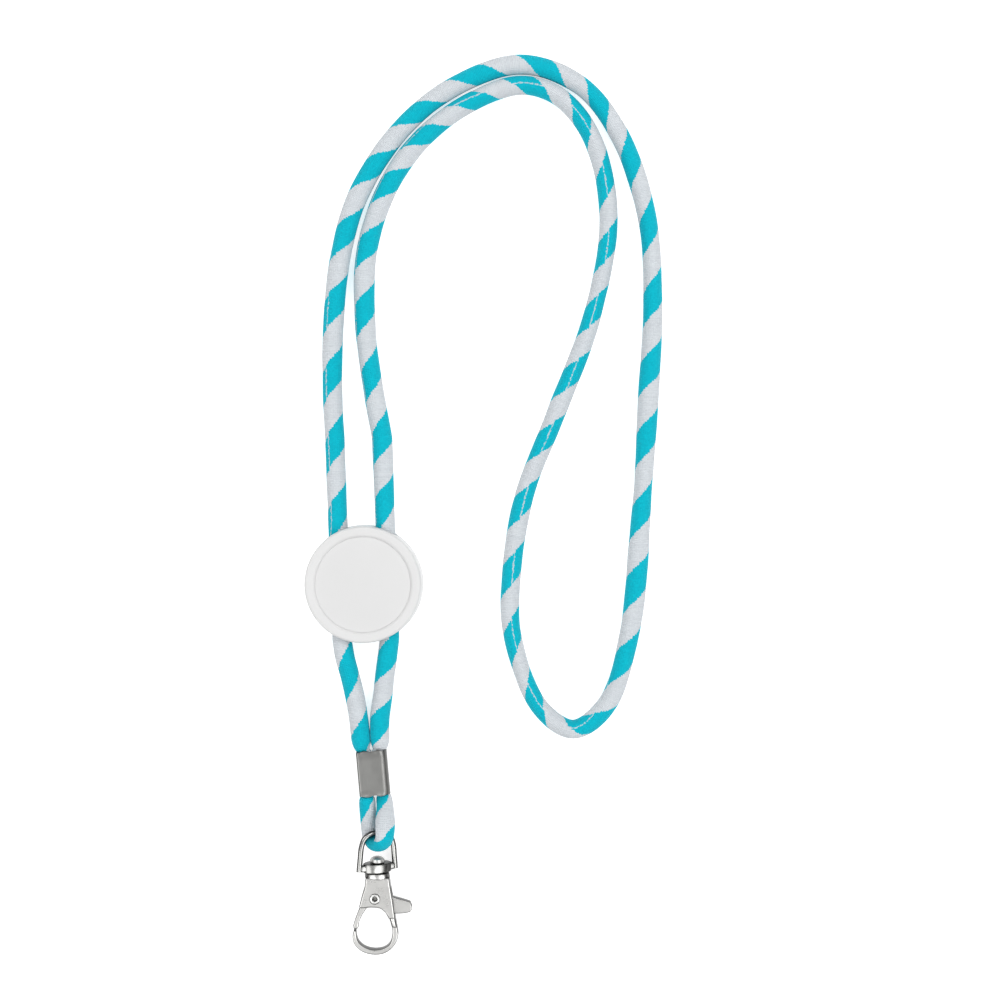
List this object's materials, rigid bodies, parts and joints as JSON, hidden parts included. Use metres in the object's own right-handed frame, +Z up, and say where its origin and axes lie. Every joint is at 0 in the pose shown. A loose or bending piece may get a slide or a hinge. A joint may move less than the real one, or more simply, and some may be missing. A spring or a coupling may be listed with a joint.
{
  "type": "lanyard",
  "caption": "Neck lanyard of striped round knitted cord with a sliding round badge, a metal crimp, a short ring loop and a swivel trigger hook, lying flat.",
  "frame": {"origin": "on the table, under the middle of the box round the hard pieces (badge, crimp and clasp)", "axes": "+Z up off the table, +Y from the hook towards the badge and the neck loop, +X towards the side the neck loop lies on"},
  "size_m": [0.1089, 0.2742, 0.0105],
  "materials": {
    "cord_fabric": "knitted polyester, striped print",
    "badge_abs": "satin moulded",
    "print_vinyl": "smooth, blank",
    "crimp_steel": "satin plated",
    "clasp_nickel": "polished nickel plate",
    "spring_steel": "drawn wire"
  },
  "bodies": {
    "lanyard": {"neck_cord": "cord_fabric", "ring_loop_cord": "cord_fabric", "cord_tail_left": "cord_fabric", "cord_tail_right": "cord_fabric", "crimp": "crimp_steel"},
    "badge": {"badge_front_cap": "badge_abs", "badge_print_disc": "print_vinyl", "badge_back_plate": "badge_abs"},
    "bail": {"bail": "clasp_nickel"},
    "hook": {"swivel_pin": "clasp_nickel", "hook_frame": "clasp_nickel", "lever_rivet": "clasp_nickel", "lever_spring": "spring_steel"},
    "lever": {"gate_lever": "clasp_nickel"}
  },
  "joints": [
    {"name": "badge_slide", "type": "slide", "parent": "lanyard", "child": "badge", "axis": [-0.036, 0.9994, 0], "range_m": [0, 0.02]},
    {"name": "bail_tilt", "type": "hinge", "parent": "lanyard", "child": "bail", "pos_m": [0.0042, -0.02795, 0.0053], "axis": [0.914, 0.029, -0.4047], "range_deg": [-60, 0]},
    {"name": "hook_swivel", "type": "hinge", "parent": "bail", "child": "hook", "pos_m": [0.0042, -0.02795, 0.0053], "axis": [0.0132, 0.9948, 0.1011], "continuous": true},
    {"name": "gate_open", "type": "hinge", "parent": "hook", "child": "lever", "pos_m": [0.00342, -0.04788, 0.00328], "axis": [-0.0013, -0.101, 0.9949], "range_deg": [0, 25], "stiffness_Nm_per_rad": 0.03, "springref_deg": -17.19}
  ]
}
